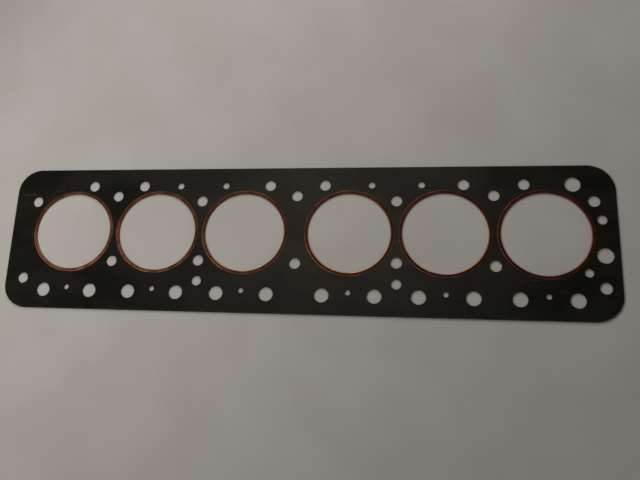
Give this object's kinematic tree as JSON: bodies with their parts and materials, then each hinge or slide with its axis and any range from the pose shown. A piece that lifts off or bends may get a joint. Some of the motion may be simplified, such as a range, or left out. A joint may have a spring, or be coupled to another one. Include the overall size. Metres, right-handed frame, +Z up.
{
  "type": "cylinder head gasket",
  "caption": "Flat rounded-corner cylinder head gasket of dark composite sheet, with a row of copper-ringed cylinder openings and punched stud, pushrod, oil and coolant holes.",
  "frame": {"origin": "under the middle of the sheet's outline, on the plane that the lower flanges of the fire rings lie on", "axes": "+X along the row of cylinders towards the end with the extra ports, +Y across it towards the coolant holes, +Z up towards the cylinder head"},
  "size_m": [0.672, 0.168, 0.0017],
  "materials": {
    "sheet": "matte",
    "fire_ring": "satin"
  },
  "bodies": {
    "root": {"gasket_sheet": "sheet", "fire_ring_1": "fire_ring", "fire_ring_2": "fire_ring", "fire_ring_3": "fire_ring", "fire_ring_4": "fire_ring", "fire_ring_5": "fire_ring", "fire_ring_6": "fire_ring"}
  },
  "joints": []
}
